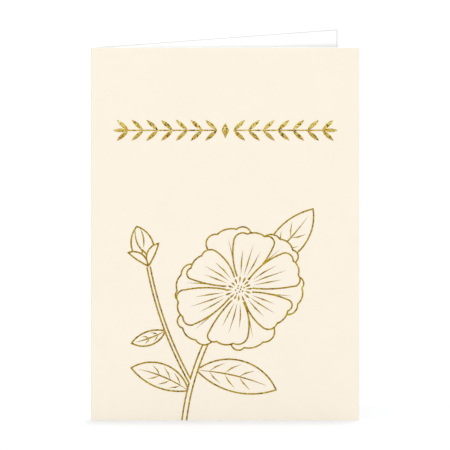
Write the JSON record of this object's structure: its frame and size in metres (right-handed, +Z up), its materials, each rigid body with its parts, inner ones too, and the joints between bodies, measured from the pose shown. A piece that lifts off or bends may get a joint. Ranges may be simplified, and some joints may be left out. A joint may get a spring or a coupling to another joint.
{
  "type": "greeting card",
  "caption": "Upright folded greeting card that stands ajar, cream outside and white inside, with a gold foil line flower and a laurel band on its front.",
  "frame": {"origin": "centre of the card's bounding box in X and Y, on the plane that its bottom edges stand on", "axes": "+Z up along the fold, the front panel lies in XZ and faces -Y, the fold is at -X and the card opens at +X"},
  "size_m": [0.105, 0.0424, 0.148],
  "materials": {
    "board": "smooth uncoated board, cream outside and white inside",
    "foil": "hot-stamped gold foil with a mottled sheen"
  },
  "bodies": {
    "root": {"card": "board", "foil_band": "foil", "foil_flower": "foil"}
  },
  "joints": []
}
